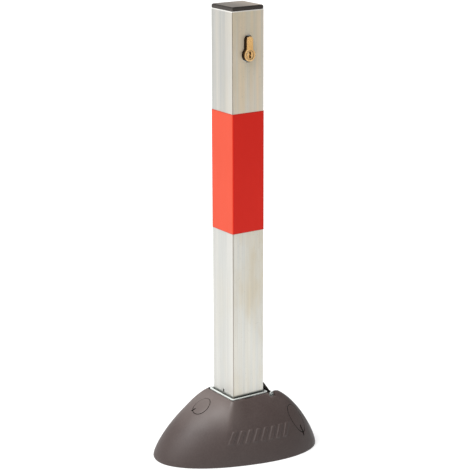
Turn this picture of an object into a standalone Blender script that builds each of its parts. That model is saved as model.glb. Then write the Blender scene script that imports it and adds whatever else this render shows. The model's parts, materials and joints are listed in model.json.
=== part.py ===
"""Removable steel safety bollard: a locking post in a floor socket under a moulded base cover.

Run with: blender --background --python part.py
Metres, +Z up. The origin is on the post's axis, at the underside of the base plate.
The post's faces are square to X and Y: the lock faces -Y and the socket flap is on +X.
The rest pose is the released one: both latch bolts are drawn into the post.
"""
from math import atan2, cos, hypot, pi, radians, sin, sqrt

import bmesh
import bpy
from mathutils import Matrix, Vector

# ---- Driving dimensions -------------------------------------------------------------------
GAP = 0.0003                    # air between pieces that touch on the real object

SOCKET_TOP = 0.087              # rim of the socket above the ground
POST_TOP = SOCKET_TOP + 0.532   # top end of the steel tube
TUBE = 0.050
TUBE_WALL = 0.002
TUBE_CORNER = 0.0013
TUBE_INNER_CORNER = 0.0005
SOCKET = 0.060
SOCKET_WALL = 0.003
SOCKET_CORNER = 0.0045
SOCKET_PROUD = 0.0007           # how far the socket's end stands out of the cover

CAP_RISE = 0.0055
CAP_CHAMFER = 0.0013
CAP_SKIRT = 0.014
BAND_TOP = POST_TOP - 0.135
BAND_BOTTOM = POST_TOP - 0.298
BAND_AIR = 0.00015
BAND_THICK = 0.0003

PLATE = 0.005
BUFFER = 0.005
ANCHOR_HOLE = 0.009

# Footprint of the cover: two half superellipses about the post's axis, turned about Z.
COVER_TURN = radians(-15.5)
COVER_LEFT = 0.1226
COVER_RIGHT = 0.1116
COVER_HALF_WIDTH = 0.0638
COVER_POWER = 2.2
COVER_WALL = 0.003
COVER_FOOT = 0.0004
COVER_BULGE = 0.002             # how far the wall swells out just above the ground
COVER_BULGE_HEIGHT = 0.009
COVER_SHOULDER_REACH = 0.63     # shoulder control point, from rim (0) to footprint (1)
COVER_SHOULDER_HEIGHT = 0.80    # the same point's height as a share of the rim height
OPENING_HALF = 0.0306
OPENING_FLAP_SIDE = 0.0442      # the opening is longer here, to hold the flap's hinge
RIM_HALF = 0.0318
RIM_FLAP_SIDE = 0.0494
SAG_DEPTH = 0.016               # how deep the rim sags beside the flap
SAG_START = radians(-46)
SAG_RUN_IN = radians(47)
SAG_END = radians(45)
SAG_RUN_OUT = radians(25)

# Anchor points, each under its own plug. Seen from above a plug is an ellipse, which is shorter
# downhill where the cover is steep, so that it stays nearly round on the slope itself:
# (x, y, downhill direction, half length downhill, half width, place of the prying notch).
ANCHORS = {
    "plug_left": (-0.0577, 0.0058, radians(180), 0.0120, 0.0120, radians(-30)),
    "plug_front": (0.0616, -0.0521, radians(-102), 0.0074, 0.0124, radians(40)),
    "plug_rear": (0.0808, 0.0129, radians(30), 0.0080, 0.0124, radians(0)),
}
PLUG_WALL = 0.0016
PLUG_DEPTH = 0.006
NOTCH_LENGTH = 0.0040
NOTCH_WIDTH = 0.0020

# Cover screws: (distance from the axis, direction measured from the footprint's long axis).
COVER_SCREWS = ((0.100, pi), (0.097, 0.0), (0.0525, pi / 2), (0.0525, -pi / 2))
BOSS_RADIUS = 0.0045
SCREW_RADIUS = 0.0015

# Flap beside the post, hinged on a pin parallel to Y.
FLAP_PIN_X = 0.0395
FLAP_PIN_Z = 0.0800
FLAP_PIN_RADIUS = 0.002
FLAP_HALF_WIDTH = 0.023
FLAP_LENGTH = 0.0240
FLAP_THICK = 0.0022
FLAP_LEAN = radians(35.5)       # from upright, towards the post
BRACKET_THICK = 0.0025
BRACKET_EYE = 0.0038

# Euro-profile lock: the round part is below, the narrow part above.
LOCK_Z = POST_TOP - 0.058
LOCK_ROUND = 0.0085
LOCK_STEM = 0.005               # half width of the narrow part
LOCK_TOP = LOCK_Z + 0.0245
LOCK_PROUD = 0.0045             # how far the lock stands out of the tube's face
LOCK_LENGTH = 0.0245
LOCK_CUT_MARGIN = 0.0015        # air between the lock and the cut-out in the tube
CORE_RADIUS = 0.0062
KEYWAY_WIDTH = 0.0024
KEYWAY_HEIGHT = 0.0085

# Drive: half a turn of the crank lifts the rod, and the rod spreads the bolts.
CRANK_THROW = 0.008
CRANK_PIN = 0.002
ROD_TRAVEL = 2 * CRANK_THROW
ROD_RADIUS = 0.003
# A crank pin runs ahead of an even lift by at most this share of its throw.
YOKE_SLACK = 0.211 * CRANK_THROW

BOLT_Z = 0.034
BOLT_TRAVEL = 0.006
BOLT_HALF_WIDTH = 0.006
BOLT_HALF_HEIGHT = 0.005
BOLT_INNER = 0.0045
BOLT_OUTER = TUBE / 2 - 0.0004
BOLT_PIN_RADIUS = 0.0018
BOLT_PIN_X = 0.008
SPREADER_HALF_THICK = 0.0015

SLOT_LOW = SOCKET_TOP + 0.0020
SLOT_HIGH = SOCKET_TOP + 0.0068
SLOT_WIDTH = 0.0034

STEEL = dict(color=(0.66, 0.66, 0.62), roughness=0.35, metallic=1.0)
DARK_STEEL = dict(color=(0.32, 0.32, 0.33), roughness=0.4, metallic=1.0)
BRASS = dict(color=(0.78, 0.57, 0.24), roughness=0.25, metallic=1.0)
PLASTIC = dict(color=(0.075, 0.062, 0.060), roughness=0.55, metallic=0.0)
BLACK_PLASTIC = dict(color=(0.03, 0.03, 0.032), roughness=0.5, metallic=0.0)
RED = dict(color=(0.62, 0.035, 0.015), roughness=0.35, metallic=0.0)
RUBBER = dict(color=(0.02, 0.02, 0.02), roughness=0.8, metallic=0.0)


# ---- Scene and mesh helpers ---------------------------------------------------------------
def clear_scene():
    for item in list(bpy.data.objects):
        bpy.data.objects.remove(item)


def make_material(name, color, roughness, metallic):
    material = bpy.data.materials.new(name)
    material.use_nodes = True
    shader = material.node_tree.nodes["Principled BSDF"]
    shader.inputs["Base Color"].default_value = (*color, 1.0)
    shader.inputs["Roughness"].default_value = roughness
    shader.inputs["Metallic"].default_value = metallic
    return material


def add_object(name, bm, look=None, smooth=False):
    """Turn a bmesh into a linked object with outward faces and its own material."""
    bmesh.ops.recalc_face_normals(bm, faces=bm.faces)
    mesh = bpy.data.meshes.new(name)
    bm.to_mesh(mesh)
    bm.free()
    if smooth:
        mesh.shade_smooth()
        mesh.set_sharp_from_angle(angle=radians(35))
    item = bpy.data.objects.new(name, mesh)
    bpy.context.collection.objects.link(item)
    if look:
        mesh.materials.append(make_material(name, **look))
    return item


def axis_frame(axis):
    """Columns are the outline's first and second direction and the extrusion's direction."""
    return {
        "X": Matrix(((0, 0, 1), (1, 0, 0), (0, 1, 0))),
        "Y": Matrix(((1, 0, 0), (0, 0, 1), (0, 1, 0))),
        "Z": Matrix.Identity(3),
    }[axis]


def prism_mesh(outline, low, high, axis="Z"):
    frame = axis_frame(axis)
    bm = bmesh.new()
    base = bm.faces.new([bm.verts.new(frame @ Vector((u, v, low))) for u, v in outline])
    swept = bmesh.ops.extrude_face_region(bm, geom=[base])
    moved = [item for item in swept["geom"] if isinstance(item, bmesh.types.BMVert)]
    bmesh.ops.translate(bm, verts=moved, vec=frame @ Vector((0, 0, high - low)))
    return bm


def prism(name, outline, low, high, axis="Z", look=None, smooth=False):
    return add_object(name, prism_mesh(outline, low, high, axis), look, smooth)


def ring_prism(name, outer, inner, low, high, look):
    """A tube along Z between two outlines with the same number of points."""
    bm = bmesh.new()
    loops = []
    for outline, z in ((outer, low), (outer, high), (inner, high), (inner, low)):
        loops.append([bm.verts.new((x, y, z)) for x, y in outline])
    for here, there in zip(loops, loops[1:] + loops[:1]):
        stitch(bm, here, there)
    return add_object(name, bm, look, smooth=True)


def stitch(bm, loop, other):
    """Join two closed vertex loops with quads."""
    for index in range(len(loop)):
        after = (index + 1) % len(loop)
        bm.faces.new((loop[index], loop[after], other[after], other[index]))


def circle(radius, center=(0.0, 0.0), steps=24):
    turns = [2 * pi * index / steps for index in range(steps)]
    return [(center[0] + radius * cos(a), center[1] + radius * sin(a)) for a in turns]


def arc(center, radius, start, end, steps):
    turns = [start + (end - start) * index / steps for index in range(steps + 1)]
    return [(center[0] + radius * cos(a), center[1] + radius * sin(a)) for a in turns]


def rounded_rect(x_low, x_high, y_low, y_high, radius, steps=4):
    corners = (
        (x_high - radius, y_low + radius, -pi / 2),
        (x_high - radius, y_high - radius, 0.0),
        (x_low + radius, y_high - radius, pi / 2),
        (x_low + radius, y_low + radius, pi),
    )
    outline = []
    for x, y, start in corners:
        outline += arc((x, y), radius, start, start + pi / 2, steps)
    return outline


def square(half, radius, steps=4):
    return rounded_rect(-half, half, -half, half, radius, steps)


def box(name, low, high, look=None):
    outline = [(low[0], low[1]), (high[0], low[1]), (high[0], high[1]), (low[0], high[1])]
    return prism(name, outline, low[2], high[2], look=look)


def combine(item, tool, operation):
    """Cut or join a tool object, which stays in the file as a hidden guide."""
    tool.hide_render = True
    tool.display_type = "WIRE"
    step = item.modifiers.new(tool.name, "BOOLEAN")
    step.operation = operation
    step.object = tool


def cut(item, tool):
    combine(item, tool, "DIFFERENCE")


def join(item, tool):
    combine(item, tool, "UNION")


def pivot(name, place, *items):
    """Parent moving pieces to an empty on their joint's axis, leaving them where they are."""
    holder = bpy.data.objects.new(name, None)
    holder.location = place
    bpy.context.collection.objects.link(holder)
    for item in items:
        item.data.transform(Matrix.Translation(-Vector(place)))
        item.parent = holder


# ---- Base cover ---------------------------------------------------------------------------
def footprint_radius(angle, inset=0.0):
    turned = angle - COVER_TURN
    length = (COVER_RIGHT if cos(turned) > 0 else COVER_LEFT) - inset
    width = COVER_HALF_WIDTH - inset
    total = abs(cos(turned) / length) ** COVER_POWER + abs(sin(turned) / width) ** COVER_POWER
    return total ** (-1 / COVER_POWER)


def rect_radius(angle, flap_side, half, flap_corner, corner):
    """Distance from the axis to a rounded rectangle that reaches further on +X."""
    across, along = abs(cos(angle)), abs(sin(angle))
    reach, radius = (flap_side, flap_corner) if cos(angle) > 0 else (half, corner)
    distance = min(reach / max(across, 1e-9), half / max(along, 1e-9))
    x, y = reach - radius, half - radius
    if distance * across > x and distance * along > y:
        middle = x * across + y * along
        distance = middle + sqrt(max(middle ** 2 - x ** 2 - y ** 2 + radius ** 2, 0.0))
    return distance


def opening_radius(angle):
    return rect_radius(angle, OPENING_FLAP_SIDE, OPENING_HALF, 0.0035, 0.0035)


def rim_radius(angle):
    return rect_radius(angle, RIM_FLAP_SIDE, RIM_HALF, 0.010, 0.0045)


def rim_height(angle):
    """Height of the rim. It sags on the flap's side, so that the flap can fold outwards."""
    angle = (angle + pi) % (2 * pi) - pi
    down = smooth_step((angle - SAG_START) / SAG_RUN_IN) ** 1.5
    up = smooth_step((SAG_END - angle) / SAG_RUN_OUT)
    return SOCKET_TOP - SAG_DEPTH * down * up


def smooth_step(share):
    share = max(0.0, min(1.0, share))
    return share * share * (3 - 2 * share)


def cover_profile(angle, share, inset=0.0):
    """Radius and height on the cover's wall, from the ground (share 0) to the rim (share 1)."""
    foot = footprint_radius(angle)
    rim = rim_radius(angle)
    top = rim_height(angle)
    controls = (
        (foot - inset, COVER_FOOT),
        (foot + COVER_BULGE - inset, COVER_BULGE_HEIGHT),
        (rim + (foot - rim) * COVER_SHOULDER_REACH - 0.8 * inset,
         top * COVER_SHOULDER_HEIGHT - 0.8 * inset),
        (max(rim - 0.5 * inset, opening_radius(angle) + GAP), top - inset),
    )
    rest = 1 - share
    weights = (rest ** 3, 3 * share * rest ** 2, 3 * share ** 2 * rest, share ** 3)
    return tuple(sum(w * point[axis] for w, point in zip(weights, controls)) for axis in (0, 1))


def cover_height(x, y):
    """Height of the cover's outer face above a point between its rim and its footprint."""
    angle = atan2(y, x)
    low, high = 0.0, 1.0
    for _ in range(30):
        middle = (low + high) / 2
        if cover_profile(angle, middle)[0] > hypot(x, y):
            low = middle
        else:
            high = middle
    return cover_profile(angle, low)[1]


def cover_angles():
    """Even directions, with extra ones at the four corners of the rim."""
    angles = [2 * pi * index / 72 for index in range(72)]
    for x, y in ((RIM_FLAP_SIDE, RIM_HALF), (-RIM_HALF, RIM_HALF)):
        for side in (1, -1):
            corner = atan2(side * y, x) % (2 * pi)
            angles += [corner - 0.03, corner + 0.03]
    return sorted(angles)


def make_cover_shell():
    bm = bmesh.new()
    columns = []
    steps = 9
    for angle in cover_angles():
        opening = opening_radius(angle)
        rim = rim_height(angle)
        section = [(opening, rim - COVER_WALL), (opening, rim)]
        section += [cover_profile(angle, 1 - index / steps) for index in range(steps + 1)]
        section += [cover_profile(angle, index / steps, COVER_WALL) for index in range(steps + 1)]
        columns.append([bm.verts.new((r * cos(angle), r * sin(angle), z)) for r, z in section])
    for here, there in zip(columns, columns[1:] + columns[:1]):
        stitch(bm, here, there)
    return add_object("base_cover", bm, PLASTIC, smooth=True)


def screw_place(distance, direction):
    return distance * cos(direction + COVER_TURN), distance * sin(direction + COVER_TURN)


def make_cover():
    cover = make_cover_shell()
    for index, (distance, direction) in enumerate(COVER_SCREWS, 1):
        x, y = screw_place(distance, direction)
        edge = 1 + BOSS_RADIUS / distance
        top = cover_height(x * edge, y * edge) - 0.3 * COVER_WALL
        low = PLATE + GAP
        join(cover, prism(f"boss_{index}", circle(BOSS_RADIUS, (x, y), 20), low, top))
        bore = circle(SCREW_RADIUS + GAP, (x, y), 16)
        cut(cover, prism(f"boss_bore_{index}", bore, low - 0.002, low + 0.012))
    for name, anchor in ANCHORS.items():
        hole = plug_outline(anchor, extra=GAP)
        cut(cover, prism(f"{name}_hole", hole, PLATE + 0.002, SOCKET_TOP + 0.01))
    # Low part of the rim beside the flap's front hinge eye.
    cut(cover, box("rim_notch", (0.028, -0.040, SOCKET_TOP - 0.0055),
                   (0.0378, -0.029, SOCKET_TOP + 0.01)))


def plug_outline(anchor, share=1.0, extra=0.0, steps=32):
    """Outline of a plug seen from above, scaled by share and then grown by extra."""
    x, y, downhill, length, width, _ = anchor
    outline = []
    for along, across in circle(1.0, steps=steps):
        along *= length * share + extra
        across *= width * share + extra
        outline.append((x + along * cos(downhill) - across * sin(downhill),
                        y + along * sin(downhill) + across * cos(downhill)))
    return outline


def make_notch(name, anchor):
    """Tool for the prying notch, which runs in from the plug's edge towards its middle."""
    x, y, downhill, length, width, notch = anchor
    along, across = length * cos(notch), width * sin(notch)
    place = Matrix.Translation((x, y, 0)) @ Matrix.Rotation(downhill, 4, "Z")
    edge = place @ Vector((along, across, 0))
    inwards = Matrix.Rotation(downhill + atan2(across, along), 4, "Z")
    top = cover_height(edge.x, edge.y) + 0.010
    half = NOTCH_WIDTH / 2
    outline = rounded_rect(-NOTCH_LENGTH, NOTCH_LENGTH / 2, -half, half, 0.0004, 2)
    tool = prism(f"{name}_notch", outline, top - 0.020, top)
    tool.data.transform(Matrix.Translation((edge.x, edge.y, 0)) @ inwards)
    return tool


def make_plug(name, anchor):
    """A shallow cup whose top follows the cover, pulled out upwards."""
    x, y = anchor[:2]
    inner = 1 - PLUG_WALL / min(anchor[3:5])
    bm = bmesh.new()

    def ring(share, drop):
        places = plug_outline(anchor, share)
        return [bm.verts.new((px, py, cover_height(px, py) - drop)) for px, py in places]

    skin = 0.0001
    rings = [ring(share, skin) for share in (0.35, 0.7, 1.0)]
    rings += [ring(1.0, PLUG_DEPTH), ring(inner, PLUG_DEPTH), ring(inner, COVER_WALL)]
    rings += [ring(inner * 0.5, COVER_WALL)]
    for here, there in zip(rings, rings[1:]):
        stitch(bm, here, there)
    for loop, drop in ((rings[0], skin), (rings[-1], COVER_WALL)):
        middle = bm.verts.new((x, y, cover_height(x, y) - drop))
        for here, there in zip(loop, loop[1:] + loop[:1]):
            bm.faces.new((here, there, middle))
    plug = add_object(name, bm, PLASTIC, smooth=True)
    cut(plug, make_notch(name, anchor))
    pivot(f"{name}_pull", (x, y, cover_height(x, y)), plug)


# ---- Floor socket -------------------------------------------------------------------------
def make_base_plate():
    turns = [2 * pi * index / 72 for index in range(72)]
    inset = COVER_WALL + 0.0015
    outline = [(footprint_radius(a, inset) * cos(a), footprint_radius(a, inset) * sin(a))
               for a in turns]
    plate = prism("base_plate", outline, 0.0, PLATE, look=STEEL)
    for name, anchor in ANCHORS.items():
        hole = circle(ANCHOR_HOLE / 2, anchor[:2])
        cut(plate, prism(f"{name}_anchor_hole", hole, -0.001, PLATE + 0.001))
    for index, (distance, direction) in enumerate(COVER_SCREWS, 1):
        place = screw_place(distance, direction)
        bore = circle(SCREW_RADIUS + 2 * GAP, place, 16)
        cut(plate, prism(f"plate_bore_{index}", bore, -0.001, PLATE + 0.001))
        sink = circle(0.0037, place, 20)
        cut(plate, prism(f"plate_sink_{index}", sink, -0.001, 0.0026))


def make_cover_screw(index, distance, direction):
    place = screw_place(distance, direction)
    screw = prism(f"cover_screw_{index}", circle(0.0034, place, 20), GAP, 0.0023, look=DARK_STEEL)
    join(screw, prism(f"cover_shank_{index}", circle(SCREW_RADIUS, place, 16), 0.001, 0.0155))
    recess = prism(f"cover_recess_{index}", circle(0.0014, place, 6), -0.001, 0.0016)
    cut(screw, recess)


def make_socket():
    socket = ring_prism("socket_tube", square(SOCKET / 2, SOCKET_CORNER),
                        square(SOCKET / 2 - SOCKET_WALL, SOCKET_CORNER - SOCKET_WALL),
                        PLATE + GAP, SOCKET_TOP + SOCKET_PROUD, STEEL)
    half_width = BOLT_HALF_WIDTH + 0.0008
    half_height = BOLT_HALF_HEIGHT + 0.0008
    cut(socket, box("socket_windows", (-0.04, -half_width, BOLT_Z - half_height),
                    (0.04, half_width, BOLT_Z + half_height)))
    half = SOCKET / 2 - SOCKET_WALL - GAP
    pad_low = PLATE + GAP
    ring_prism("socket_buffer", square(half, 0.0012), square(0.009, 0.0012), pad_low,
               pad_low + BUFFER, RUBBER)


def make_flap_bracket():
    """A bent steel bracket welded to the socket, with an eye at each end for the pin."""
    back = SOCKET / 2 + GAP
    outer = FLAP_HALF_WIDTH + GAP + BRACKET_THICK
    low = FLAP_PIN_Z - 0.010
    bracket = box("flap_bracket", (back, -outer, low),
                  (back + BRACKET_THICK, outer, FLAP_PIN_Z - 0.0045), STEEL)
    eye = [(back, low), (FLAP_PIN_X, low)]
    eye += arc((FLAP_PIN_X, FLAP_PIN_Z), BRACKET_EYE, -pi / 2, pi, 14)[1:]
    eye += [(back, FLAP_PIN_Z - 0.0045)]
    for side, start in (("front", -outer), ("rear", outer - BRACKET_THICK)):
        join(bracket, prism(f"bracket_ear_{side}", eye, start, start + BRACKET_THICK, "Y"))
    bore = circle(FLAP_PIN_RADIUS + GAP, (FLAP_PIN_X, FLAP_PIN_Z))
    cut(bracket, prism("bracket_bore", bore, -0.04, 0.04, "Y"))
    pin_half = outer + 0.001
    prism("flap_pin", circle(FLAP_PIN_RADIUS, (FLAP_PIN_X, FLAP_PIN_Z)), -pin_half, pin_half, "Y",
          look=STEEL, smooth=True)


def make_flap():
    """A short plate on a hinge barrel, leaning on the post."""
    half = FLAP_THICK / 2
    barrel = 0.0034
    meet = atan2(sqrt(barrel ** 2 - half ** 2), half)
    outline = arc((0, 0), barrel, pi - meet, 2 * pi + meet, 22)
    outline += arc((0, FLAP_LENGTH - half), half, 0, pi, 6)
    lean = Matrix.Rotation(FLAP_LEAN, 2)
    place = Vector((FLAP_PIN_X, FLAP_PIN_Z))
    outline = [tuple(lean @ Vector(point) + place) for point in outline]
    flap = prism("socket_flap", outline, -FLAP_HALF_WIDTH, FLAP_HALF_WIDTH, "Y",
                 look=BLACK_PLASTIC, smooth=True)
    bore = circle(FLAP_PIN_RADIUS + GAP, (FLAP_PIN_X, FLAP_PIN_Z))
    cut(flap, prism("flap_bore", bore, -0.04, 0.04, "Y"))
    pivot("flap_tilt", (FLAP_PIN_X, 0, FLAP_PIN_Z), flap)


# ---- Post ---------------------------------------------------------------------------------
def lock_outline(margin=0.0):
    """Euro profile: a round part below with a narrow stem standing on it."""
    radius = LOCK_ROUND + margin
    stem = LOCK_STEM + margin
    height = sqrt(radius ** 2 - stem ** 2)
    start = atan2(height, stem)
    outline = arc((0, LOCK_Z), radius, pi - start, 2 * pi + start, 26)
    cap = stem - 0.0001
    outline += arc((0, LOCK_TOP + margin - cap), cap, 0, pi, 10)
    return outline


def make_post_tube(low):
    half = TUBE / 2
    tube = ring_prism("post_tube", square(half, TUBE_CORNER),
                      square(half - TUBE_WALL, TUBE_INNER_CORNER), low, POST_TOP, STEEL)
    cut(tube, prism("lock_cut", lock_outline(LOCK_CUT_MARGIN), -half - 0.005, -half + 0.005, "Y"))
    width = BOLT_HALF_WIDTH + GAP
    height = BOLT_HALF_HEIGHT + GAP
    cut(tube, box("tube_windows", (-0.03, -width, BOLT_Z - height), (0.03, width, BOLT_Z + height)))
    slot = rounded_rect(-SLOT_WIDTH / 2, SLOT_WIDTH / 2, SLOT_LOW, SLOT_HIGH, SLOT_WIDTH / 2.2, 5)
    cut(tube, prism("tube_slot", slot, -half - 0.005, -half + 0.005, "X"))
    for side, y in (("front", -half), ("rear", half)):
        bore = circle(0.0027, (0, BOLT_Z + 0.0085), 16)
        cut(tube, prism(f"tube_screw_hole_{side}", bore, y - 0.003, y + 0.003, "Y"))
    return tube


def make_cap():
    half = TUBE / 2 - 0.0002
    low = POST_TOP + GAP
    top = POST_TOP + CAP_RISE
    bm = bmesh.new()
    sections = (
        (0.0205, 0.0010, top - 0.0035), (0.0205, 0.0010, low - CAP_SKIRT),
        (0.0224, 0.0020, low - CAP_SKIRT), (0.0226, 0.0020, low),
        (half, TUBE_CORNER, low), (half, TUBE_CORNER, top - CAP_CHAMFER),
        (half - CAP_CHAMFER, TUBE_CORNER, top),
    )
    loops = [[bm.verts.new((x, y, z)) for x, y in square(size, corner)]
             for size, corner, z in sections]
    for here, there in zip(loops, loops[1:]):
        stitch(bm, here, there)
    bm.faces.new(loops[0])
    bm.faces.new(loops[-1])
    return add_object("post_cap", bm, BLACK_PLASTIC)


def make_band():
    inner = TUBE / 2 + BAND_AIR
    outer = inner + BAND_THICK
    return ring_prism("red_band", square(outer, TUBE_CORNER + BAND_AIR + BAND_THICK),
                      square(inner, TUBE_CORNER + BAND_AIR), BAND_BOTTOM, BAND_TOP, RED)


def make_lock():
    """Lock body, and the bracket and screw that hold it inside the tube."""
    front = -TUBE / 2 - LOCK_PROUD
    body = prism("lock_cylinder", lock_outline(), front, front + LOCK_LENGTH, "Y", BRASS, True)
    bore = circle(CORE_RADIUS + GAP, (0, LOCK_Z), 32)
    cut(body, prism("core_bore", bore, front - 0.001, front + LOCK_LENGTH + 0.001, "Y"))
    screw_y = -0.014
    hole = circle(0.0026, (0, screw_y))
    cut(body, prism("screw_thread_hole", hole, LOCK_TOP - 0.0135, LOCK_TOP + 0.001))

    wall = -TUBE / 2 + TUBE_WALL + GAP
    sheet = 0.002
    shelf = LOCK_TOP + 0.0035
    bracket = box("lock_bracket", (-0.019, wall, LOCK_Z - 0.016), (0.019, wall + sheet, shelf),
                  STEEL)
    join(bracket, box("bracket_shelf", (-0.019, wall, shelf - sheet), (0.019, -0.005, shelf)))
    cut(bracket, prism("bracket_profile", lock_outline(GAP), wall - 0.001, wall + 0.003, "Y"))
    cut(bracket, prism("bracket_screw_hole", hole, shelf - 0.003, shelf + 0.001))

    screw = prism("lock_screw", circle(0.0042, (0, screw_y)), shelf + GAP, shelf + 0.004,
                  look=DARK_STEEL, smooth=True)
    join(screw, prism("lock_screw_shank", circle(0.0023, (0, screw_y)), LOCK_TOP - 0.012,
                      shelf + 0.001))
    cut(screw, prism("lock_screw_socket", circle(0.0022, (0, screw_y), 6), shelf + 0.002,
                     shelf + 0.005))
    return body, bracket, screw


def make_rod_guide(name, top):
    """A sheet tray across the tube with a hole for the rod."""
    half = TUBE / 2 - TUBE_WALL - GAP
    sheet = 0.0015
    bm = bmesh.new()
    sections = (
        (half - sheet, 0.0006, top - sheet), (half - sheet, 0.0006, top - 0.010),
        (half, 0.0010, top - 0.010), (half, 0.0010, top),
    )
    loops = [[bm.verts.new((x, y, z)) for x, y in square(size, corner, 2)]
             for size, corner, z in sections]
    for here, there in zip(loops, loops[1:]):
        stitch(bm, here, there)
    bm.faces.new(loops[0])
    bm.faces.new(loops[-1])
    guide = add_object(name, bm, STEEL)
    cut(guide, prism(f"{name}_hole", circle(ROD_RADIUS + 0.0004), top - 0.005, top + 0.002))
    return guide


def make_latch_housing():
    """Block in the foot of the post that guides both bolts and the spreader."""
    half = TUBE / 2 - TUBE_WALL - GAP
    low = BOLT_Z - 0.012
    high = BOLT_Z + 0.012
    housing = prism("latch_housing", square(half, 0.001, 2), low, high, look=DARK_STEEL)
    width = BOLT_HALF_WIDTH + GAP
    height = BOLT_HALF_HEIGHT + GAP
    cut(housing, box("bolt_channel", (-0.03, -width, BOLT_Z - height),
                     (0.03, width, BOLT_Z + height)))
    slot = SPREADER_HALF_THICK + GAP
    cut(housing, box("spreader_channel", (-0.0186, -slot, low - 0.001),
                     (0.0186, slot, high + 0.001)))
    cut(housing, prism("boss_channel", circle(0.0055), BOLT_Z + 0.001, high + 0.001))
    screws = []
    for side, sign in (("front", -1), ("rear", 1)):
        place = (0, BOLT_Z + 0.0085)
        inner, outer = sorted((sign * 0.0165, sign * 0.030))
        cut(housing, prism(f"housing_bore_{side}", circle(0.0023, place, 16), inner, outer, "Y"))
        inner, outer = sorted((sign * 0.0170, sign * (TUBE / 2 - GAP)))
        screws.append(prism(f"housing_screw_{side}", circle(0.0020, place, 16), inner, outer, "Y",
                            look=DARK_STEEL, smooth=True))
    return [housing, *screws]


def make_post():
    low = PLATE + BUFFER + 3 * GAP
    pieces = [make_post_tube(low), make_cap(), make_band(), *make_lock()]
    pieces += [make_rod_guide("rod_guide_upper", 0.430), make_rod_guide("rod_guide_lower", 0.170)]
    pieces += make_latch_housing()
    pivot("post_lift", (0, 0, low), *pieces)


# ---- Lock drive ---------------------------------------------------------------------------
def make_key_core():
    front = -TUBE / 2 - LOCK_PROUD
    back = front + LOCK_LENGTH
    core = prism("lock_core", circle(CORE_RADIUS, (0, LOCK_Z), 32), front + 0.0002, back, "Y",
                 BRASS, True)
    half = KEYWAY_WIDTH / 2
    keyway = rounded_rect(-half, half, LOCK_Z - KEYWAY_HEIGHT / 2, LOCK_Z + KEYWAY_HEIGHT / 2,
                          0.0006, 2)
    cut(core, prism("keyway", keyway, front - 0.001, back - 0.004, "Y"))

    disc = back + GAP
    crank = prism("lock_crank", circle(0.0072, (0, LOCK_Z)), disc, disc + 0.0025, "Y",
                  DARK_STEEL, True)
    join(crank, prism("crank_arm", rounded_rect(-0.0038, 0.0038, LOCK_Z - CRANK_THROW - 0.0032,
                                                LOCK_Z, 0.0030), disc, disc + 0.0025, "Y"))
    join(crank, prism("crank_pin", circle(CRANK_PIN, (0, LOCK_Z - CRANK_THROW)), disc + 0.001,
                      0.0030, "Y"))
    pivot("key_turn", (0, front, LOCK_Z), core, crank)


def make_rod():
    """Yoke, rod and spreader plate, which rise together."""
    slot_z = LOCK_Z - CRANK_THROW
    yoke = prism("rod_yoke", rounded_rect(-0.0075, 0.0145, slot_z - 0.010, slot_z + 0.009, 0.003),
                 -0.0016, 0.0016, "Y", DARK_STEEL)
    stem_low = slot_z - 0.034
    join(yoke, box("yoke_stem", (-0.005, -0.0016, stem_low + 0.010), (0.005, 0.0016, slot_z - 0.009)))
    join(yoke, prism("yoke_boss", circle(0.005), stem_low, stem_low + 0.012))
    slack = CRANK_PIN + YOKE_SLACK + GAP
    slot = rounded_rect(-0.0028, CRANK_THROW + 0.0028, slot_z - slack, slot_z + slack, 0.0022)
    cut(yoke, prism("yoke_slot", slot, -0.005, 0.005, "Y"))
    rod_top = stem_low + 0.0095
    cut(yoke, prism("yoke_bore", circle(ROD_RADIUS + GAP), stem_low - 0.001, rod_top + GAP))

    rise, reach = ROD_TRAVEL, BOLT_TRAVEL
    plate_low = BOLT_Z - rise - 0.0055
    plate_high = BOLT_Z + 0.0055
    half_wide = BOLT_PIN_X + reach + 0.0038
    spreader = prism("spreader_plate", rounded_rect(-half_wide, half_wide, plate_low, plate_high,
                                                    0.002), -SPREADER_HALF_THICK,
                     SPREADER_HALF_THICK, "Y", DARK_STEEL)
    join(spreader, prism("spreader_boss", circle(0.005), plate_high - GAP, plate_high + 0.013))
    rod_low = plate_high + 0.0025
    cut(spreader, prism("spreader_bore", circle(ROD_RADIUS + GAP), rod_low - GAP,
                        plate_high + 0.014))
    radius = BOLT_PIN_RADIUS + GAP
    slope = atan2(rise, reach)
    for side, sign in (("left", -1), ("right", 1)):
        top, bottom = (BOLT_PIN_X, BOLT_Z), (BOLT_PIN_X + reach, BOLT_Z - rise)
        outline = arc(bottom, radius, -pi / 2 - slope, pi / 2 - slope, 8)
        outline += arc(top, radius, pi / 2 - slope, 3 * pi / 2 - slope, 8)
        outline = [(sign * x, z) for x, z in outline]
        cut(spreader, prism(f"spreader_slot_{side}", outline, -0.005, 0.005, "Y"))

    rod = prism("lock_rod", circle(ROD_RADIUS), rod_low, rod_top, look=STEEL, smooth=True)
    pivot("rod_rise", (0, 0, rod_low), yoke, rod, spreader)


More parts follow.
